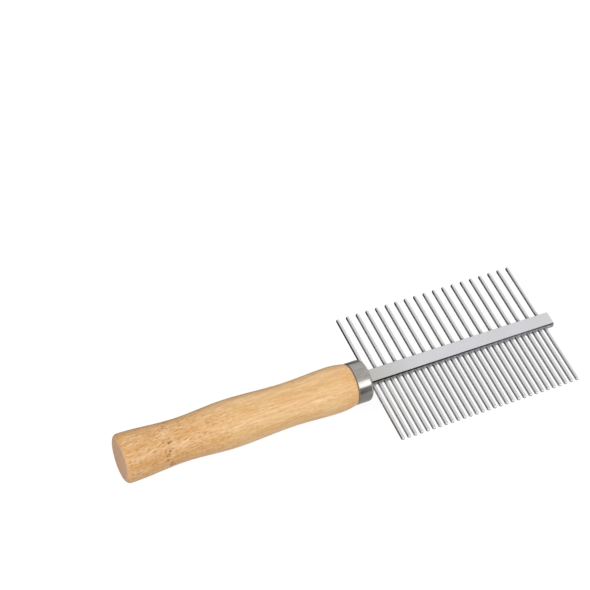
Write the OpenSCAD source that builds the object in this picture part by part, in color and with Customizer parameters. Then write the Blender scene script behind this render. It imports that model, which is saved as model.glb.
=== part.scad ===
// Double-sided pet grooming comb.
// A turned bamboo handle carries a flat steel bar with round sides. Round steel teeth stand in blind holes
// in both sides of the bar: a close row on one side and an open row on the other.
// Frame: origin at the centre of the handle's butt face, +X along the handle towards the teeth,
// +Y towards the open row, +Z out of the bar's top face.

/* [Handle] */
// Length of the wood that shows, from the butt to the ferrule
handle_len = 105.3; // [96:0.1:130]
// Diameter at the butt
butt_d = 21; // [19.5:0.1:24]
// Diameter of the rear waist
rear_waist_d = 18.5; // [16:0.1:20]
// Diameter of the middle swell
swell_d = 20.8; // [19:0.1:24]
// Diameter of the front waist
front_waist_d = 18.9; // [17:0.1:21]
// Diameter of the front shoulder, just behind the ferrule
shoulder_d = 20.4; // [19:0.1:24]
// Diameter of the wood where it meets the ferrule
nose_d = 18.2; // [17:0.1:18.9]
// Radius on the edge of the butt
butt_edge_r = 2; // [0.5:0.1:2.2]

/* [Ferrule] */
// Outer diameter of the ferrule
ferrule_d = 18.5; // [18:0.1:20]
// Length of the ferrule
ferrule_len = 7; // [5:0.1:12]
// Thickness of the ferrule's sheet steel
ferrule_wall = 0.9; // [0.5:0.1:1.5]
// Outer radius between the ferrule's side and its front face
ferrule_edge_r = 1.3; // [1:0.1:2.5]

/* [Bar and tang] */
// Width of the bar, across the two rows of teeth
bar_w = 7.3; // [6.8:0.1:9]
// Thickness of the bar
bar_h = 3.9; // [3.4:0.1:4.4]
// Distance from the first pair of teeth to the ferrule
root_margin = 2.4; // [1.5:0.1:6]
// Distance from the last pair of teeth to the end of the bar
end_margin = 4.3; // [1.5:0.1:10]
// Radius of the bar's rolled sides
side_r = 3; // [2.3:0.05:3.3]
// Chamfer round the ends of the bar
bar_chamfer = 0.2; // [0.1:0.05:0.6]
// Width of the tang
tang_w = 4.6; // [3:0.1:5]
// Thickness of the tang
tang_h = 3; // [2:0.1:3.2]
// Length of the tang behind the ferrule's front face
tang_len = 45; // [20:1:60]

/* [Teeth] */
// Number of teeth in the close row
fine_count = 30; // [10:1:32]
// Distance between teeth in the close row
fine_pitch = 3; // [2.4:0.1:4]
// How far the close row stands out of the bar
fine_reach = 29.2; // [10:0.1:40]
// Number of teeth in the open row, spread over the same length
coarse_count = 19; // [6:1:24]
// How far the open row stands out of the bar
coarse_reach = 29; // [10:0.1:40]
// Diameter of every tooth
tooth_d = 1.7; // [1:0.1:2]
// Depth of the blind hole that each tooth is pressed into
seat_depth = 2.6; // [1.5:0.1:2.7]

/* [Hidden] */
$fn = 96;
bore_d = 6;                // blind bore in the handle, round the tang
glue_end = 2;              // glue beyond the end of the tang
slot_play = 0.1;           // gap on each side of the tang in the ferrule's slot
spigot_chamfer = 0.5;      // lead-in on the handle's spigot
ferrule_lip_r = 0.4;       // rounding on the ferrule's rear edge
profile_step = 1;          // spacing of the points along the turned profile
arc_steps = 8;             // segments in a quarter-round
rear_waist_at = 0.251;     // places of the waists and swells, as parts of handle_len
swell_at = 0.469;
front_waist_at = 0.722;
shoulder_at = 0.922;

ferrule_front = handle_len + ferrule_len;
row_start = ferrule_front + root_margin;
row_len = (fine_count - 1) * fine_pitch;
coarse_pitch = row_len / (coarse_count - 1);
bar_end = row_start + row_len + end_margin;
spigot_d = ferrule_d - 2 * ferrule_wall;
spigot_len = ferrule_len - ferrule_wall;
bore_start = ferrule_front - tang_len - glue_end;

// Each turning point of the handle: distance from the butt, radius.
turning_points = [
    [butt_edge_r, butt_d / 2],
    [rear_waist_at * handle_len, rear_waist_d / 2],
    [swell_at * handle_len, swell_d / 2],
    [front_waist_at * handle_len, front_waist_d / 2],
    [shoulder_at * handle_len, shoulder_d / 2],
];

// Smooth step from a to b as f goes from 0 to 1, level at both ends.
function ease(a, b, f) = a + (b - a) * (1 - cos(180 * f)) / 2;

// Points [x, radius] between turning points k and k + 1.
function wave(k) =
    let (a = turning_points[k], b = turning_points[k + 1], n = ceil((b[0] - a[0]) / profile_step))
    [for (i = [0:n - 1]) [a[0] + (b[0] - a[0]) * i / n, ease(a[1], b[1], i / n)]];

// Quarter-round of radius r about centre [x, radius], from one angle to another.
function arc(x, radius, r, from, to) =
    [for (i = [0:arc_steps]) let (t = from + (to - from) * i / arc_steps) [x + r * cos(t), radius + r * sin(t)]];

// The shoulder falls to the nose along one arc, level where it leaves the last turning point.
function nose() =
    let (
        start = turning_points[len(turning_points) - 1],
        run = handle_len - start[0],
        drop = start[1] - nose_d / 2,
        r = (run * run + drop * drop) / (2 * drop),
        sweep = asin(run / r)
    )
    [for (i = [0:arc_steps]) let (t = sweep * i / arc_steps) [start[0] + r * sin(t), start[1] - r + r * cos(t)]];

// Turns an outline of [x, radius] points round the X axis.
module turned(outline) {
    rotate([0, 90, 0])
        rotate_extrude()
            polygon([for (p = outline) [p[1], p[0]]]);
}

// A cylinder along X that starts at x.
module rod_x(x, d, length) {
    translate([x, 0, 0])
        rotate([0, 90, 0])
            cylinder(d = d, h = length);
}

// A rectangle with its corners cut at 45 degrees.
module cut_rectangle(x0, x1, w, c) {
    polygon([
        [x0, c - w / 2], [x0 + c, -w / 2], [x1 - c, -w / 2], [x1, c - w / 2],
        [x1, w / 2 - c], [x1 - c, w / 2], [x0 + c, w / 2], [x0, w / 2 - c],
    ]);
}

// A flat bar along X with sides rolled to radius r and chamfered ends.
module rolled_bar(x0, x1, w, h, r, c) {
    intersection() {
        translate([0, 0, -h / 2])
            linear_extrude(h)
                cut_rectangle(x0, x1, w, c);
        rotate([90, 0, 0])
            translate([0, 0, -w / 2])
                linear_extrude(w)
                    cut_rectangle(x0, x1, h, c);
        union() {
            box_x(x0, x1, w - 2 * r, 2 * r);
            for (side = [-1, 1])
                translate([0, side * (w / 2 - r), 0])
                    rod_x(x0, 2 * r, x1 - x0);
        }
    }
}

// A box along X, centred on the axis.
module box_x(x0, x1, w, h) {
    translate([x0, -w / 2, -h / 2])
        cube([x1 - x0, w, h]);
}

// Places its children in a hole in the bar's side, with Z pointing out of the bar.
module in_side(x, side) {
    translate([x, side * (bar_w / 2 - seat_depth), 0])
        rotate([-90 * side, 0, 0])
            children();
}

function fine_x(i) = row_start + (i - 1) * fine_pitch;
function coarse_x(i) = row_start + (i - 1) * coarse_pitch;
function numbered(stem, i) = str(stem, i < 10 ? "0" : "", i);

module handle() {
    body = concat(
        [[0, 0]],
        arc(butt_edge_r, butt_d / 2 - butt_edge_r, butt_edge_r, 180, 90),
        [for (i = [1:len(wave(0)) - 1]) wave(0)[i]],
        wave(1),
        wave(2),
        wave(3),
        nose(),
        [
            [handle_len, spigot_d / 2],
            [handle_len + spigot_len - spigot_chamfer, spigot_d / 2],
            [handle_len + spigot_len, spigot_d / 2 - spigot_chamfer],
            [handle_len + spigot_len, 0],
        ]
    );
    color("burlywood")
        difference() {
            turned(body);
            rod_x(bore_start, bore_d, ferrule_front);
        }
}

module ferrule() {
    inner_r = ferrule_edge_r - ferrule_wall;
    cup = concat(
        [[handle_len, spigot_d / 2]],
        arc(handle_len + ferrule_lip_r, ferrule_d / 2 - ferrule_lip_r, ferrule_lip_r, 180, 90),
        arc(ferrule_front - ferrule_edge_r, ferrule_d / 2 - ferrule_edge_r, ferrule_edge_r, 90, 0),
        [[ferrule_front, 0], [ferrule_front - ferrule_wall, 0]],
        arc(ferrule_front - ferrule_edge_r, spigot_d / 2 - inner_r, inner_r, 0, 90)
    );
    color("lightslategray")
        difference() {
            turned(cup);
            box_x(handle_len, ferrule_front + 1, tang_w + 2 * slot_play, tang_h + 2 * slot_play);
        }
}

module tang_adhesive() {
    color("khaki")
        difference() {
            rod_x(bore_start, bore_d, ferrule_front - ferrule_wall - bore_start);
            box_x(ferrule_front - tang_len, ferrule_front, tang_w, tang_h);
        }
}

module spine_bar() {
    color("silver")
        difference() {
            union() {
                rolled_bar(ferrule_front, bar_end, bar_w, bar_h, side_r, bar_chamfer);
                box_x(ferrule_front - tang_len, ferrule_front + 2 * bar_chamfer, tang_w, tang_h);
            }
            for (i = [1:fine_count])
                in_side(fine_x(i), -1)
                    cylinder(d = tooth_d, h = seat_depth + 1);
            for (i = [1:coarse_count])
                in_side(coarse_x(i), 1)
                    cylinder(d = tooth_d, h = seat_depth + 1);
        }
}

// One round-nosed tooth, from the bottom of its hole to its tip.
module tooth(x, side, reach) {
    straight = seat_depth + reach - tooth_d / 2;
    color("gainsboro")
        in_side(x, side)
            union() {
                cylinder(d = tooth_d, h = straight);
                translate([0, 0, straight])
                    sphere(d = tooth_d);
            }
}

handle();
ferrule();
tang_adhesive();
spine_bar();
for (i = [1:fine_count])
    tooth(fine_x(i), -1, fine_reach);
for (i = [1:coarse_count])
    tooth(coarse_x(i), 1, coarse_reach);
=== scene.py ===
"""Looks for the double-sided grooming comb: bamboo handle, stamped ferrule, bar and two rows of teeth."""

import math

import bmesh
import bpy
from mathutils import Matrix, Vector


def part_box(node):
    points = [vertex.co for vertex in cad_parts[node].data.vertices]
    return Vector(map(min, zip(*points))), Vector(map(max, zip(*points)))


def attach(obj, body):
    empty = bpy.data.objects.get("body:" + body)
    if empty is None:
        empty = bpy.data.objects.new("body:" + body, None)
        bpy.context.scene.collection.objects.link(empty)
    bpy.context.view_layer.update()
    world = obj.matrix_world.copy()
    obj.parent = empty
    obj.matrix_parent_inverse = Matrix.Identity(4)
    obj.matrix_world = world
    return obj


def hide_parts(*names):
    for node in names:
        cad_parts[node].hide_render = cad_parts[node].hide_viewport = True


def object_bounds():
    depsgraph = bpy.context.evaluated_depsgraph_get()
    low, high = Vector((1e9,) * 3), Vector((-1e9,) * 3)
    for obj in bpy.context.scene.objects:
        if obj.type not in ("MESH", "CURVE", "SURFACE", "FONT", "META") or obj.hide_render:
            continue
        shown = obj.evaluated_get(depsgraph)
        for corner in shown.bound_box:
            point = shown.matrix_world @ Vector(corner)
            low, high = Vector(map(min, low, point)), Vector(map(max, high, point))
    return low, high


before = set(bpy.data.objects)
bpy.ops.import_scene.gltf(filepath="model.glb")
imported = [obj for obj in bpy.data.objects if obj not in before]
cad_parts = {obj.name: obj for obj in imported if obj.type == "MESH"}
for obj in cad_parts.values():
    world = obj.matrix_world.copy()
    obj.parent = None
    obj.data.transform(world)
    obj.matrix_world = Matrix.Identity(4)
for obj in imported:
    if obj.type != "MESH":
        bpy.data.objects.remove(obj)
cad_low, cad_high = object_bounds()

MM = 0.001

# ---------------------------------------------------------------- sizes

# Sizes that the boxes of the CAD parts don't give. Other sizes are read from those boxes, further down.
# Turning points of the handle between the butt and the ferrule: distance from the butt and radius.
TURNING_POINTS = [
    (26.43 * MM, 9.25 * MM),
    (49.39 * MM, 10.4 * MM),
    (76.03 * MM, 9.45 * MM),
    (97.09 * MM, 10.2 * MM),
]
BUTT_EDGE_R = 2 * MM
NOSE_R = 9.1 * MM
BORE_R = 3 * MM
BORE_START = 65.3 * MM
SPIGOT_CHAMFER = 0.5 * MM
FERRULE_WALL = 0.9 * MM
FERRULE_FRONT_R = 1.3 * MM
FERRULE_REAR_R = 0.25 * MM
SLOT_PLAY = 0.1 * MM
TANG_W = 4.6 * MM
TANG_H = 3 * MM
BAR_SIDE_R = 3 * MM
BAR_EDGE_R = 0.05 * MM
HOLE_CHAMFER = 0.12 * MM
TOOTH_FOOT_CHAMFER = 0.1 * MM

RING_STEP = 0.8 * MM
ARC_STEPS = 10
BAR_SIDE_STEPS = 24
HANDLE_SEGMENTS = 160
TOOTH_SEGMENTS = 36
SHARP_ANGLE = math.radians(35)
CREASE_ANGLE = math.radians(25)

handle_high = Vector(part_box("handle")[1])
ferrule_low, ferrule_high = (Vector(corner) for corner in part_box("ferrule"))
bar_low, bar_high = (Vector(corner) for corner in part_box("spine_bar"))
butt_r = handle_high.z
seam_x = ferrule_low.x
ferrule_x = ferrule_high.x
ferrule_r = ferrule_high.z
spigot_r = ferrule_r - FERRULE_WALL

# ---------------------------------------------------------------- camera

# The camera, as its direction from the comb, its roll about its own axis and the point it looks at.
CAMERA_AZIMUTH = -34.05
CAMERA_ELEVATION = 53.01
CAMERA_ROLL = 11.65
CAMERA_DISTANCE = 0.7052
CAMERA_LENS = 96.84
CAMERA_SENSOR = 36
CAMERA_NEAR = 10 * MM
CAMERA_AIM = Vector((0.1027, 0.05135, 0.0))


def direction(azimuth, elevation):
    """Unit vector from the comb towards an azimuth and elevation in degrees. Azimuth 0 is -Y, 90 is +X."""
    a, e = math.radians(azimuth), math.radians(elevation)
    return Vector((math.sin(a) * math.cos(e), -math.cos(a) * math.cos(e), math.sin(e)))


def make_camera():
    """Makes the scene's camera, which has no lens shift."""
    back = direction(CAMERA_AZIMUTH, CAMERA_ELEVATION)
    turn = (-back).to_track_quat("-Z", "Y").to_matrix().to_4x4()
    roll = Matrix.Rotation(math.radians(CAMERA_ROLL), 4, "Z")
    data = bpy.data.cameras.new("camera")
    data.lens = CAMERA_LENS
    data.sensor_width = CAMERA_SENSOR
    data.clip_start = CAMERA_NEAR
    camera = bpy.data.objects.new("camera", data)
    camera.matrix_world = Matrix.Translation(CAMERA_AIM + back * CAMERA_DISTANCE) @ turn @ roll
    bpy.context.scene.collection.objects.link(camera)
    bpy.context.scene.camera = camera


# ---------------------------------------------------------------- shader helpers


def add(tree, kind, inputs=None, **settings):
    """Adds a node. Each input is a value or another node's output, keyed by the socket's name or number."""
    made = tree.nodes.new(kind)
    for key, value in settings.items():
        setattr(made, key, value)
    for key, value in (inputs or {}).items():
        if isinstance(value, bpy.types.NodeSocket):
            tree.links.new(value, made.inputs[key])
        else:
            made.inputs[key].default_value = value
    return made


def math_node(tree, operation, a, b=0.0):
    """The result of a sum on one or two numbers."""
    return add(tree, "ShaderNodeMath", {0: a, 1: b}, operation=operation).outputs[0]


def ramp(tree, value, low, high, start=0.0, end=1.0):
    """Smooth step of value from start at low to end at high."""
    inputs = {"Value": value, "From Min": low, "From Max": high, "To Min": start, "To Max": end}
    return add(tree, "ShaderNodeMapRange", inputs, interpolation_type="SMOOTHSTEP").outputs["Result"]


def mix(tree, factor, a, b):
    """Blend of colours a and b."""
    node = add(tree, "ShaderNodeMix", data_type="RGBA")
    for socket, value in zip((0, 6, 7), (factor, a, b)):
        if isinstance(value, bpy.types.NodeSocket):
            tree.links.new(value, node.inputs[socket])
        else:
            node.inputs[socket].default_value = value
    return node.outputs[2]


def noise(tree, vector, scale, detail=2.0, roughness=0.5):
    """Fractal noise from 0 to 1."""
    inputs = {"Vector": vector, "Scale": scale, "Detail": detail, "Roughness": roughness}
    return add(tree, "ShaderNodeTexNoise", inputs).outputs["Fac"]


def cells(tree, vector, factors):
    """Random cells: the distance from each cell's centre, and a random number that belongs to the cell."""
    texture = add(tree, "ShaderNodeTexVoronoi", {"Vector": stretch(tree, vector, factors), "Scale": 1.0})
    number = add(tree, "ShaderNodeSeparateColor", {0: texture.outputs["Color"]}).outputs[0]
    return texture.outputs["Distance"], number


def stretch(tree, vector, factors):
    """The vector with each axis multiplied by its factor."""
    return add(tree, "ShaderNodeVectorMath", {0: vector, 1: factors}, operation="MULTIPLY").outputs[0]


def new_material(name):
    """A material with a Principled shader, its tree, and the object's coordinates in millimetres."""
    material = bpy.data.materials.new(name)
    material.use_nodes = True
    tree = material.node_tree
    shader = tree.nodes["Principled BSDF"]
    place = add(tree, "ShaderNodeTexCoord").outputs["Object"]
    return material, tree, shader, stretch(tree, place, (1 / MM, 1 / MM, 1 / MM))


def connect(tree, shader, colour, roughness, normal):
    """Gives a shader its colour, roughness and surface normal."""
    for name, output in (("Base Color", colour), ("Roughness", roughness), ("Normal", normal)):
        tree.links.new(output, shader.inputs[name])


def rgb(red, green, blue):
    """An sRGB colour from 0 to 255 as linear RGBA."""
    levels = [c / 255 for c in (red, green, blue)]
    return tuple(c / 12.92 if c < 0.04045 else ((c + 0.055) / 1.055) ** 2.4 for c in levels) + (1.0,)


# ---------------------------------------------------------------- materials

# Distances inside the materials are in millimetres.

# Where each stretch of the handle starts and ends, along X.
REAR_WOOD = (18.0, 55.0)
END_GRAIN = (0.05, 0.6)
LEANING_GRAIN = (-25.0, 45.0)
STRONG_DASHES = (30.0, 62.0)
CULM_NODE_START = (18.7, 21.2)
CULM_NODE_END = (23.2, 26.2)
# Sideways lean of the fibres at the butt, how far they sway, and how far the culm's node wanders along X.
GRAIN_LEAN = 7.0
GRAIN_SWAY = 3.0
NODE_WANDER = 7.0
# How far behind the ferrule the wood starts to turn warmer, and the dots and dark joint start and are full.
WARM_NOSE = 15.0
NOSE_DOTS = (12.0, 2.0)
JOINT_LINE = (0.8, 0.2)

# Part of the ferrule's reflection that is a satin haze.
FERRULE_HAZE = 0.36
# Where the heat tint on the bar is full, and where it has gone.
HEAT_TINT = (112.0, 142.0)
# Colour of the residue and painted contact shade round the teeth.
RESIDUE_AND_SHADE_COLOUR = (0.12, 0.125, 0.14, 1)
# Residue with painted contact shade round the teeth: its strength, and where it starts and ends from a
# tooth's axis.
RESIDUE_AND_SHADE = 0.6
RESIDUE_AND_SHADE_REACH = (0.85, 1.9)
# Distances from the bar's middle plane where its side starts and has fully started.
ON_SIDE = (2.95, 3.1)
# Painted dark reflection and shade, with some residue, under the bar's edges: its strength by the ferrule
# and at the free end, and heights of its fade.
EDGE_SHADE_AND_RESIDUE = (0.95, 0.55)
EDGE_SHADE_AND_RESIDUE_REACH = (0.95, 1.35)
EDGE_SHADE_AND_RESIDUE_COLOUR = (0.06, 0.062, 0.07, 1)
# Residue with painted contact shade on a tooth's foot, more on the close row: where it is full and has gone,
# from the bottom of the hole, and its strength.
FOOT_RESIDUE_AND_SHADE_REACH = (2.6, 4.8)
FINE_FOOT_RESIDUE_AND_SHADE = 0.8
COARSE_FOOT_RESIDUE_AND_SHADE = 0.5


def bamboo():
    """Varnished bamboo: fibres along X, a node of the culm near the butt, and pale end grain."""
    material, tree, shader, place = new_material("bamboo")
    x = add(tree, "ShaderNodeSeparateXYZ", {0: place}).outputs["X"]
    seam = seam_x / MM

    lean = ramp(tree, x, *LEANING_GRAIN, GRAIN_LEAN, 0.0)
    sway = noise(tree, stretch(tree, place, (0.04, 0.15, 0.15)), 1.0, 1.0)
    wander = math_node(tree, "MULTIPLY", sway, GRAIN_SWAY)
    across = math_node(tree, "ADD", lean, wander)
    shift = add(tree, "ShaderNodeCombineXYZ", {"Y": across, "Z": math_node(tree, "MULTIPLY", across, 0.6)})
    grain = add(tree, "ShaderNodeVectorMath", {0: place, 1: shift.outputs[0]}, operation="ADD").outputs[0]

    bands = noise(tree, stretch(tree, grain, (0.012, 0.25, 0.25)), 1.0, 3.0)
    colour = mix(tree, ramp(tree, bands, 0.3, 0.7), rgb(243, 200, 142), rgb(231, 183, 120))
    colour = mix(tree, ramp(tree, x, *REAR_WOOD, 0.7, 0.0), colour, rgb(222, 168, 102))
    colour = mix(tree, ramp(tree, x, *END_GRAIN, 0.8, 0.0), colour, rgb(246, 208, 180))

    streaks = noise(tree, stretch(tree, grain, (0.1, 1.5, 1.5)), 1.0, 3.0, 0.65)
    colour = mix(tree, ramp(tree, streaks, 0.48, 0.72, 0.0, 0.6), colour, rgb(208, 150, 86))
    colour = mix(tree, ramp(tree, streaks, 0.3, 0.5, 0.5, 0.0), colour, rgb(252, 222, 180))

    distance, pick = cells(tree, grain, (0.45, 2.3, 2.3))
    dash = ramp(tree, distance, 0.28, 0.6, 1.0, 0.0)
    dashes = math_node(tree, "MULTIPLY", dash, ramp(tree, pick, 0.1, 0.8, 0.2, 1.0))
    dashes = math_node(tree, "MULTIPLY", dashes, ramp(tree, x, *STRONG_DASHES, 0.62, 0.22))
    colour = mix(tree, dashes, colour, rgb(182, 114, 48))

    colour = culm_node(tree, place, x, colour)
    colour = mix(tree, ramp(tree, x, seam - WARM_NOSE, seam, 0.0, 0.3), colour, rgb(240, 172, 96))

    distance, pick = cells(tree, place, (0.9, 1.3, 1.3))
    by_the_nose = ramp(tree, x, seam - NOSE_DOTS[0], seam - NOSE_DOTS[1], 0.0, 0.7)
    dots = math_node(tree, "MULTIPLY", ramp(tree, distance, 0.2, 0.45, 1.0, 0.0), by_the_nose)
    colour = mix(tree, dots, colour, mix(tree, pick, rgb(206, 134, 62), rgb(248, 212, 150)))

    joint = ramp(tree, x, seam - JOINT_LINE[0], seam - JOINT_LINE[1], 0.0, 0.85)
    colour = mix(tree, joint, colour, rgb(92, 56, 30))

    height = math_node(tree, "SUBTRACT", math_node(tree, "MULTIPLY", streaks, 0.4), dashes)
    bump = add(tree, "ShaderNodeBump", {"Height": height, "Strength": 0.2, "Distance": 0.08 * MM})
    connect(tree, shader, colour, ramp(tree, streaks, 0.3, 0.7, 0.36, 0.5), bump.outputs[0])
    shader.inputs["Coat Weight"].default_value = 0.42
    shader.inputs["Coat Roughness"].default_value = 0.28
    return material


def culm_node(tree, place, x, colour):
    """Adds the ring where a leaf sheath grew: clumps of dark root specks with paler wood between them."""
    wobble = noise(tree, stretch(tree, place, (0.0, 0.3, 0.3)), 1.0, 2.0)
    ring_x = math_node(tree, "ADD", x, math_node(tree, "MULTIPLY", wobble, NODE_WANDER))
    end = ramp(tree, ring_x, *CULM_NODE_END, 1.0, 0.0)
    band = math_node(tree, "MULTIPLY", ramp(tree, ring_x, *CULM_NODE_START), end)
    clumps = ramp(tree, noise(tree, stretch(tree, place, (0.1, 0.16, 0.16)), 1.0, 1.0), 0.4, 0.52)
    pale = math_node(tree, "MULTIPLY", band, ramp(tree, clumps, 0.0, 1.0, 0.22, 0.0))
    colour = mix(tree, pale, colour, rgb(252, 220, 176))
    distance, pick = cells(tree, place, (0.62, 0.95, 0.95))
    speck = ramp(tree, distance, 0.28, 0.5, 1.0, 0.0)
    specks = math_node(tree, "MULTIPLY", speck, ramp(tree, pick, 0.3, 0.55))
    specks = math_node(tree, "MULTIPLY", specks, math_node(tree, "MULTIPLY", band, clumps))
    return mix(tree, math_node(tree, "MULTIPLY", specks, 0.9), colour, rgb(138, 60, 24))


def ferrule_steel():
    """Stamped, tumbled steel: a clear reflection under a satin haze, polishing lines and small scuffs."""
    material, tree, shader, place = new_material("ferrule_steel")
    lines = noise(tree, stretch(tree, place, (9.0, 0.06, 0.06)), 1.0, 3.0, 0.6)
    clouds = noise(tree, place, 0.35, 4.0)
    scuffs = ramp(tree, noise(tree, stretch(tree, place, (1.2, 1.2, 5.0)), 1.0, 4.0, 0.7), 0.62, 0.72)
    scuffed = math_node(tree, "MULTIPLY", scuffs, 0.12)
    rough = math_node(tree, "ADD", ramp(tree, clouds, 0.3, 0.7, 0.10, 0.17), scuffed)
    wisps = noise(tree, stretch(tree, place, (0.25, 1.6, 1.6)), 1.0, 3.0, 0.6)
    colour = mix(tree, ramp(tree, wisps, 0.35, 0.65), (0.37, 0.348, 0.325, 1), (0.46, 0.445, 0.43, 1))
    bump = add(tree, "ShaderNodeBump", {"Height": lines, "Strength": 0.15, "Distance": 0.02 * MM}).outputs[0]
    connect(tree, shader, colour, rough, bump)
    shader.inputs["Metallic"].default_value = 1.0
    haze_inputs = {"Base Color": colour, "Metallic": 1.0, "Roughness": 0.5, "Normal": bump}
    haze = add(tree, "ShaderNodeBsdfPrincipled", haze_inputs)
    both = add(tree, "ShaderNodeMixShader", {0: FERRULE_HAZE, 1: shader.outputs[0], 2: haze.outputs[0]})
    tree.links.new(both.outputs[0], tree.nodes["Material Output"].inputs["Surface"])
    return material


def bar_steel():
    """Bright drawn strip: clouded by handling, heat-tinted by the ferrule, residue with painted shade and
    dark reflection on its sides.
    """
    material, tree, shader, place = new_material("bar_steel")
    lines = noise(tree, stretch(tree, place, (0.12, 7.0, 7.0)), 1.0, 4.0, 0.65)
    clouds = noise(tree, stretch(tree, place, (0.08, 0.25, 0.25)), 1.0, 4.0)
    clouded = math_node(tree, "MULTIPLY", clouds, 0.06)
    rough = math_node(tree, "ADD", ramp(tree, lines, 0.3, 0.7, 0.08, 0.15), clouded)
    bump = add(tree, "ShaderNodeBump", {"Height": lines, "Strength": 0.2, "Distance": 0.03 * MM})
    colour = mix(tree, clouds, (0.72, 0.72, 0.74, 1), (0.81, 0.81, 0.85, 1))
    x, y, z = add(tree, "ShaderNodeSeparateXYZ", {0: place}).outputs
    colour = mix(tree, ramp(tree, x, *HEAT_TINT, 1.0, 0.0), colour, (0.62, 0.60, 0.57, 1))
    patches = ramp(tree, noise(tree, place, 1.1, 2.0), 0.35, 0.6, 0.35, 1.0)
    # Residue with painted contact shade round the foot of each tooth.
    for stem, side in (("fine_tooth_", -1), ("coarse_tooth_", 1)):
        residue_and_shade = foot_residue_and_shade(tree, x, math_node(tree, "MULTIPLY", y, side), z, stem)
        colour = mix(tree, math_node(tree, "MULTIPLY", residue_and_shade, patches), colour, RESIDUE_AND_SHADE_COLOUR)
    # Painted dark reflection and shade, with some residue, under the bar's edges on both sides.
    on_side = ramp(tree, math_node(tree, "ABSOLUTE", y), *ON_SIDE)
    edge = math_node(tree, "MULTIPLY", on_side, ramp(tree, z, *EDGE_SHADE_AND_RESIDUE_REACH))
    edge = math_node(tree, "MULTIPLY", edge, ramp(tree, x, ferrule_x / MM, bar_high.x / MM, *EDGE_SHADE_AND_RESIDUE))
    colour = mix(tree, edge, colour, EDGE_SHADE_AND_RESIDUE_COLOUR)
    connect(tree, shader, colour, rough, bump.outputs[0])
    shader.inputs["Metallic"].default_value = 1.0
    return material


def foot_residue_and_shade(tree, x, outward, z, stem):
    """Polishing residue with painted contact shade on the bar's side: strongest against each tooth of a row,
    and gone between them.
    """
    boxes = [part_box(name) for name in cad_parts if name.startswith(stem)]
    places = sorted((low[0] + high[0]) / 2 / MM for low, high in boxes)
    pitch = (places[-1] - places[0]) / (len(places) - 1)
    from_first = math_node(tree, "SUBTRACT", x, places[0])
    wrap = {0: from_first, 1: pitch / 2, 2: -pitch / 2}
    along = add(tree, "ShaderNodeMath", wrap, operation="WRAP").outputs[0]
    spot = add(tree, "ShaderNodeCombineXYZ", {"X": along, "Z": z}).outputs[0]
    distance = add(tree, "ShaderNodeVectorMath", {0: spot}, operation="LENGTH").outputs["Value"]
    on_side = ramp(tree, outward, *ON_SIDE)
    return math_node(tree, "MULTIPLY", on_side, ramp(tree, distance, *RESIDUE_AND_SHADE_REACH, RESIDUE_AND_SHADE, 0.0))


def tooth_steel(name, residue_and_shade):
    """Bright drawn wire: fine lines along the tooth, different on each one, with residue and painted contact
    shade at its foot.
    """
    material, tree, shader, place = new_material(name)
    x = add(tree, "ShaderNodeSeparateXYZ", {0: place}).outputs["X"]
    own = add(tree, "ShaderNodeObjectInfo").outputs["Random"]
    seed = math_node(tree, "MULTIPLY", own, 50.0)
    shift = add(tree, "ShaderNodeCombineXYZ", {"X": seed, "Y": seed, "Z": seed}).outputs[0]
    place = add(tree, "ShaderNodeVectorMath", {0: place, 1: shift}, operation="ADD").outputs[0]
    lines = noise(tree, stretch(tree, place, (0.12, 5.0, 5.0)), 1.0, 3.0, 0.6)
    rough = ramp(tree, lines, 0.3, 0.7, 0.09, 0.16)
    bump = add(tree, "ShaderNodeBump", {"Height": lines, "Strength": 0.08, "Distance": 0.02 * MM})
    colour = mix(tree, lines, (0.70, 0.70, 0.70, 1), (0.78, 0.78, 0.78, 1))
    # Residue and painted contact shade at the tooth's foot.
    foot = ramp(tree, x, *FOOT_RESIDUE_AND_SHADE_REACH, residue_and_shade, 0.0)
    colour = mix(tree, foot, colour, (0.2, 0.205, 0.22, 1))
    connect(tree, shader, colour, rough, bump.outputs[0])
    shader.inputs["Metallic"].default_value = 1.0
    return material


def epoxy():
    """Set amber glue with small bubbles."""
    material, tree, shader, place = new_material("epoxy")
    bubbles = add(tree, "ShaderNodeTexVoronoi", {"Vector": place, "Scale": 1.4}).outputs["Distance"]
    tree.links.new(mix(tree, bubbles, rgb(206, 160, 84), rgb(232, 200, 128)), shader.inputs["Base Color"])
    tree.links.new(ramp(tree, bubbles, 0.1, 0.5, 0.5, 0.2), shader.inputs["Roughness"])
    return material


def light_table():
    """Opal sheet lit from below, so that the comb casts almost no shadow on it."""
    material, tree, shader, place = new_material("light_table")
    cloud = noise(tree, place, 0.05, 2.0)
    tree.links.new(mix(tree, cloud, (0.2, 0.2, 0.2, 1), (0.21, 0.21, 0.21, 1)), shader.inputs["Base Color"])
    shader.inputs["Roughness"].default_value = 0.9
    shader.inputs["Specular IOR Level"].default_value = 0.1
    shader.inputs["Emission Color"].default_value = WHITE
    shader.inputs["Emission Strength"].default_value = FLOOR_GLOW
    return material


# ---------------------------------------------------------------- mesh helpers


def new_object(name, mesh, material):
    """An object of the mesh, in the scene, with the material."""
    piece = bpy.data.objects.new(name, mesh)
    bpy.context.scene.collection.objects.link(piece)
    mesh.materials.append(material)
    return piece


def shade(mesh):
    """Smooth shading, with creases kept sharp."""
    mesh.shade_smooth()
    mesh.set_sharp_from_angle(angle=SHARP_ANGLE)


def arc(x, radius, r, start, end):
    """Points of a circular arc about the centre (x, radius), with angles in degrees from +X."""
    angles = [math.radians(start + (end - start) * i / ARC_STEPS) for i in range(ARC_STEPS + 1)]
    return [(x + r * math.cos(t), radius + r * math.sin(t)) for t in angles]


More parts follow.
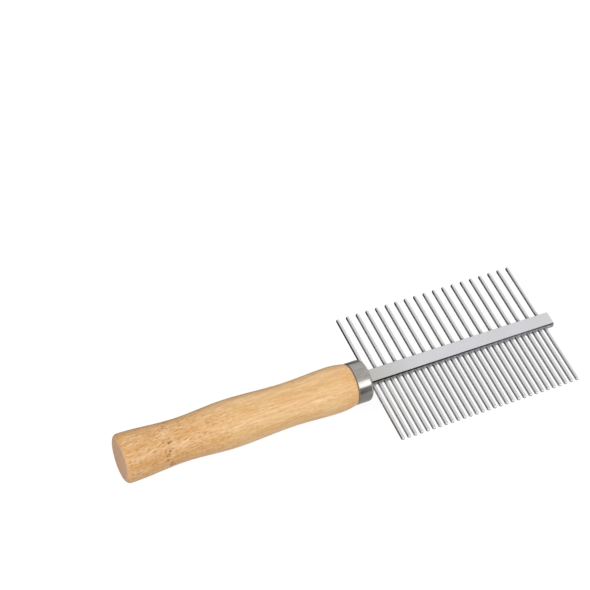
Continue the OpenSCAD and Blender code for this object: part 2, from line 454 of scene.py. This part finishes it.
def lathe(bm, outline, segments, place=Matrix()):
    """Adds the solid that an outline of (x, radius) points makes about X, from axis to axis."""
    rings = []
    for x, radius in outline:
        count = segments if radius > 0 else 1
        turns = [2 * math.pi * k / segments for k in range(count)]
        points = [place @ Vector((x, radius * math.cos(t), radius * math.sin(t))) for t in turns]
        rings.append([bm.verts.new(p) for p in points])
    for a, b in zip(rings, rings[1:]):
        for k in range(segments):
            after = (k + 1) % segments
            corners = [a[k % len(a)], a[after % len(a)], b[after % len(b)], b[k % len(b)]]
            bm.faces.new(list(dict.fromkeys(corners)))


def finished_mesh(name, bm):
    """The mesh of a finished bmesh, with its normals pointing out."""
    bmesh.ops.recalc_face_normals(bm, faces=bm.faces)
    mesh = bpy.data.meshes.new(name)
    bm.to_mesh(mesh)
    bm.free()
    return mesh


def lathed_mesh(name, outline, segments):
    bm = bmesh.new()
    lathe(bm, outline, segments)
    return finished_mesh(name, bm)


def box_mesh(name, low, high):
    """A box between two corners."""
    bm = bmesh.new()
    bmesh.ops.create_cube(bm, size=1)
    size = Vector(high) - Vector(low)
    middle = (Vector(high) + Vector(low)) / 2
    for vert in bm.verts:
        vert.co = middle + Vector(c * s for c, s in zip(vert.co, size))
    return finished_mesh(name, bm)


def combine(mesh, tool, operation):
    """The mesh joined to, or cut by, another closed mesh."""
    base = bpy.data.objects.new("base", mesh)
    other = bpy.data.objects.new("tool", tool)
    for thing in (base, other):
        bpy.context.scene.collection.objects.link(thing)
    modifier = base.modifiers.new("combine", "BOOLEAN")
    modifier.operation = operation
    modifier.object = other
    modifier.solver = "EXACT"
    graph = bpy.context.evaluated_depsgraph_get()
    result = bpy.data.meshes.new_from_object(base.evaluated_get(graph))
    for thing in (base, other):
        bpy.data.objects.remove(thing)
    return result


# ---------------------------------------------------------------- pieces


def handle_outline():
    """The turned handle: rounded butt, waists and swells joined by level easings, nose, spigot and bore."""
    points = [(0.0, 0.0)] + arc(BUTT_EDGE_R, butt_r - BUTT_EDGE_R, BUTT_EDGE_R, 180, 90)
    stations = [(BUTT_EDGE_R, butt_r)] + TURNING_POINTS
    for (x0, r0), (x1, r1) in zip(stations, stations[1:]):
        steps = math.ceil((x1 - x0) / RING_STEP)
        for i in range(1, steps + 1):
            ease = (1 - math.cos(math.pi * i / steps)) / 2
            points.append((x0 + (x1 - x0) * i / steps, r0 + (r1 - r0) * ease))
    points += nose_arc()
    spigot_end = handle_high.x
    points += [(seam_x, spigot_r), (spigot_end - SPIGOT_CHAMFER, spigot_r)]
    points += [(spigot_end, spigot_r - SPIGOT_CHAMFER), (spigot_end, BORE_R), (BORE_START, BORE_R)]
    return points + [(BORE_START, 0.0)]


def nose_arc():
    """The shoulder falls to the ferrule along one arc that leaves the last turning point level."""
    x0, r0 = TURNING_POINTS[-1]
    run = seam_x - x0
    drop = r0 - NOSE_R
    r = (run ** 2 + drop ** 2) / (2 * drop)
    sweep = math.asin(run / r)
    turns = [sweep * i / ARC_STEPS for i in range(1, ARC_STEPS + 1)]
    return [(x0 + r * math.sin(t), r0 - r + r * math.cos(t)) for t in turns]


def make_handle():
    """The turned handle, one piece with the spigot under the ferrule and the bore for the tang."""
    mesh = lathed_mesh("handle_wood", handle_outline(), HANDLE_SEGMENTS)
    shade(mesh)
    piece = new_object("handle_wood", mesh, bamboo())
    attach(piece, "root")
    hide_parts("handle")


def make_ferrule():
    """A stamped cup over the spigot, with rolled edges and a slot for the tang."""
    inner_r = FERRULE_FRONT_R - FERRULE_WALL
    back = ferrule_x - FERRULE_WALL
    outline = [(back, 0.0), (back, spigot_r - inner_r)]
    outline += arc(ferrule_x - FERRULE_FRONT_R, spigot_r - inner_r, inner_r, 0, 90)[1:]
    outline += [(seam_x + FERRULE_REAR_R, spigot_r)]
    outline += arc(seam_x + FERRULE_REAR_R, ferrule_r - FERRULE_REAR_R, FERRULE_REAR_R, 180, 90)
    outline += arc(ferrule_x - FERRULE_FRONT_R, ferrule_r - FERRULE_FRONT_R, FERRULE_FRONT_R, 90, 0)
    outline += [(ferrule_x, 0.0)]
    slot = Vector((0, TANG_W / 2 + SLOT_PLAY, TANG_H / 2 + SLOT_PLAY))
    cutter = box_mesh("slot", Vector((seam_x, 0, 0)) - slot, Vector((ferrule_x + MM, 0, 0)) + slot)
    mesh = combine(lathed_mesh("ferrule_cup", outline, HANDLE_SEGMENTS), cutter, "DIFFERENCE")
    shade(mesh)
    piece = new_object("ferrule_cup", mesh, ferrule_steel())
    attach(piece, "root")
    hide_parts("ferrule")


def tooth_nodes():
    """Each tooth's CAD node with its box and the side of the bar that it stands on."""
    for name in sorted(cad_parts):
        if "_tooth_" in name:
            low, high = (Vector(corner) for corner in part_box(name))
            yield name, low, high, (1 if high.y > bar_high.y else -1)


def tooth_place(low, high, side):
    """Stands a solid that lies along X in the tooth's hole, pointing out of the bar."""
    foot = Vector(((low.x + high.x) / 2, low.y if side > 0 else high.y, (low.z + high.z) / 2))
    return Matrix.Translation(foot) @ Matrix.Rotation(side * math.pi / 2, 4, "Z")


def bar_section():
    """The bar's outline across Y and Z: flat top and underside, and rolled sides."""
    reach = math.asin(bar_high.z / BAR_SIDE_R)
    turns = [reach * (2 * i / BAR_SIDE_STEPS - 1) for i in range(BAR_SIDE_STEPS + 1)]
    side = [(bar_high.y - BAR_SIDE_R * (1 - math.cos(t)), BAR_SIDE_R * math.sin(t)) for t in turns]
    return side + [(-y, -z) for y, z in side]


def edge_runs_across(edge):
    """Whether an edge lies across the bar and not along it."""
    a, b = edge.verts
    return abs(a.co.x - b.co.x) < BAR_EDGE_R


def bar_mesh():
    """The toothed bar without its holes, with its ends slightly rounded."""
    bm = bmesh.new()
    ends = [[bm.verts.new((x, y, z)) for y, z in bar_section()] for x in (ferrule_x, bar_high.x)]
    count = len(ends[0])
    for k in range(count):
        after = (k + 1) % count
        bm.faces.new([ends[0][k], ends[0][after], ends[1][after], ends[1][k]])
    for end in ends:
        bm.faces.new(end)
    bmesh.ops.recalc_face_normals(bm, faces=bm.faces)
    sharp = [edge for edge in bm.edges if edge.calc_face_angle() > CREASE_ANGLE]
    creases = [edge for edge in sharp if edge_runs_across(edge)]
    bmesh.ops.bevel(bm, geom=creases, offset=BAR_EDGE_R, segments=2, profile=0.5, affect="EDGES")
    return finished_mesh("bar", bm)


def make_bar():
    """The flat bar and its tang, with a slightly countersunk hole for each tooth."""
    tang_low = (bar_low.x, -TANG_W / 2, -TANG_H / 2)
    tang_high = (ferrule_x + 2 * BAR_EDGE_R, TANG_W / 2, TANG_H / 2)
    bar = combine(bar_mesh(), box_mesh("tang", tang_low, tang_high), "UNION")
    bm = bmesh.new()
    for name, low, high, side in tooth_nodes():
        r = (high.x - low.x) / 2
        depth = bar_high.y - min(abs(low.y), abs(high.y))
        outline = [(0.0, 0.0), (0.0, r), (depth - HOLE_CHAMFER, r)]
        outline += [(depth + HOLE_CHAMFER, r + 2 * HOLE_CHAMFER), (depth + HOLE_CHAMFER, 0.0)]
        lathe(bm, outline, TOOTH_SEGMENTS, tooth_place(low, high, side))
    mesh = combine(bar, finished_mesh("holes", bm), "DIFFERENCE")
    mesh.shade_flat()
    piece = new_object("comb_bar", mesh, bar_steel())
    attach(piece, "root")
    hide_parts("spine_bar")


def tooth_mesh(name, r, length):
    """A wire tooth with a small chamfer at its foot and a round nose."""
    outline = [(0.0, 0.0), (0.0, r - TOOTH_FOOT_CHAMFER), (TOOTH_FOOT_CHAMFER, r)]
    outline += arc(length - r, 0.0, r, 90, 0)[:-1]
    outline += [(length, 0.0)]
    mesh = lathed_mesh(name, outline, TOOTH_SEGMENTS)
    shade(mesh)
    return mesh


def make_teeth():
    """One wire tooth for each CAD tooth, close row and open row."""
    fine_steel = tooth_steel("fine_tooth_steel", FINE_FOOT_RESIDUE_AND_SHADE)
    coarse_steel = tooth_steel("coarse_tooth_steel", COARSE_FOOT_RESIDUE_AND_SHADE)
    for name, low, high, side in tooth_nodes():
        mesh = tooth_mesh(name + "_wire", (high.x - low.x) / 2, high.y - low.y)
        piece = new_object(name + "_wire", mesh, coarse_steel if side > 0 else fine_steel)
        piece.matrix_world = tooth_place(low, high, side)
        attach(piece, "root")
        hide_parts(name)


def finish_glue():
    """Gives the hidden glue, which keeps its CAD shape, its own material."""
    glue = bpy.data.objects["tang_adhesive"]
    material = epoxy()
    for slot in glue.material_slots:
        slot.material = material


# ---------------------------------------------------------------- studio

WHITE = (1.0, 1.0, 1.0, 1.0)
FLOOR_HALF = 1.5
FLOOR_THICKNESS = 5 * MM
FLOOR_GLOW = 0.88
# The light on the butt: azimuth and elevation, strength, and how wide its source looks.
FILL_DIRECTION = (-90, 12)
FILL_STRENGTH = 1.6
FILL_SPREAD = math.radians(40)
# Light of the studio's walls.
BASE_LIGHT = 0.85

# Soft boxes round the comb: direction, half angles where each is full and where it ends, and strength.
SOFT_BOXES = [
    ((0.34, -0.70, 0.63), 6, 21, 2.6),
    ((0.85, 0.50, -0.05), 15, 40, 0.25),
]
# Dark flags: direction, half angles, and the part of the light that each takes away.
FLAGS = [
    ((0.20, -0.975, 0.09), 16, 24, 0.85),
    ((0.36, 0.88, -0.36), 10, 28, 0.8),
    ((0.30, -0.65, -0.70), 25, 55, 0.36),
    ((-0.80, 0.48, -0.30), 42, 72, 0.965),
    ((-0.15, 0.50, -0.85), 22, 42, 0.94),
]


def patch(tree, ray, towards, inner, outer):
    """A soft round patch of the sky: 1 within the inner angle of a direction and 0 beyond the outer one."""
    towards = Vector(towards).normalized()
    product = add(tree, "ShaderNodeVectorMath", {0: ray, 1: tuple(towards)}, operation="DOT_PRODUCT")
    near = product.outputs["Value"]
    return ramp(tree, near, math.cos(math.radians(outer)), math.cos(math.radians(inner)))


def make_world():
    """A studio of white walls with soft boxes and dark flags. The camera itself sees plain white."""
    world = bpy.data.worlds.new("studio")
    bpy.context.scene.world = world
    world.use_nodes = True
    tree = world.node_tree
    background = tree.nodes["Background"]
    ray = add(tree, "ShaderNodeTexCoord").outputs["Generated"]
    light = add(tree, "ShaderNodeValue")
    light.outputs[0].default_value = BASE_LIGHT
    light = light.outputs[0]
    for towards, inner, outer, strength in SOFT_BOXES:
        glow = math_node(tree, "MULTIPLY", patch(tree, ray, towards, inner, outer), strength)
        light = math_node(tree, "ADD", light, glow)
    for towards, inner, outer, taken in FLAGS:
        shade_part = math_node(tree, "MULTIPLY", patch(tree, ray, towards, inner, outer), taken)
        light = math_node(tree, "MULTIPLY", light, math_node(tree, "SUBTRACT", 1.0, shade_part))
    seen = add(tree, "ShaderNodeLightPath").outputs["Is Camera Ray"]
    tree.links.new(mix(tree, seen, light, WHITE), background.inputs["Color"])


def make_fill():
    """A soft light on the butt, which the steel doesn't show."""
    data = bpy.data.lights.new("fill", "SUN")
    data.energy = FILL_STRENGTH
    data.angle = FILL_SPREAD
    fill = bpy.data.objects.new("fill", data)
    fill.rotation_euler = direction(*FILL_DIRECTION).to_track_quat("Z", "Y").to_euler()
    fill.visible_glossy = False
    bpy.context.scene.collection.objects.link(fill)


def make_floor():
    """A pale floor that the comb rests on. Only the camera sees it, so it adds no light to the comb."""
    low = (-FLOOR_HALF, -FLOOR_HALF, cad_low[2] - FLOOR_THICKNESS)
    high = (FLOOR_HALF, FLOOR_HALF, cad_low[2])
    floor = new_object("floor", box_mesh("floor", low, high), light_table())
    floor.visible_glossy = False
    floor.visible_diffuse = False


make_camera()
make_handle()
make_ferrule()
make_bar()
make_teeth()
finish_glue()
make_floor()
make_world()
make_fill()
bpy.context.scene.view_settings.view_transform = "Standard"
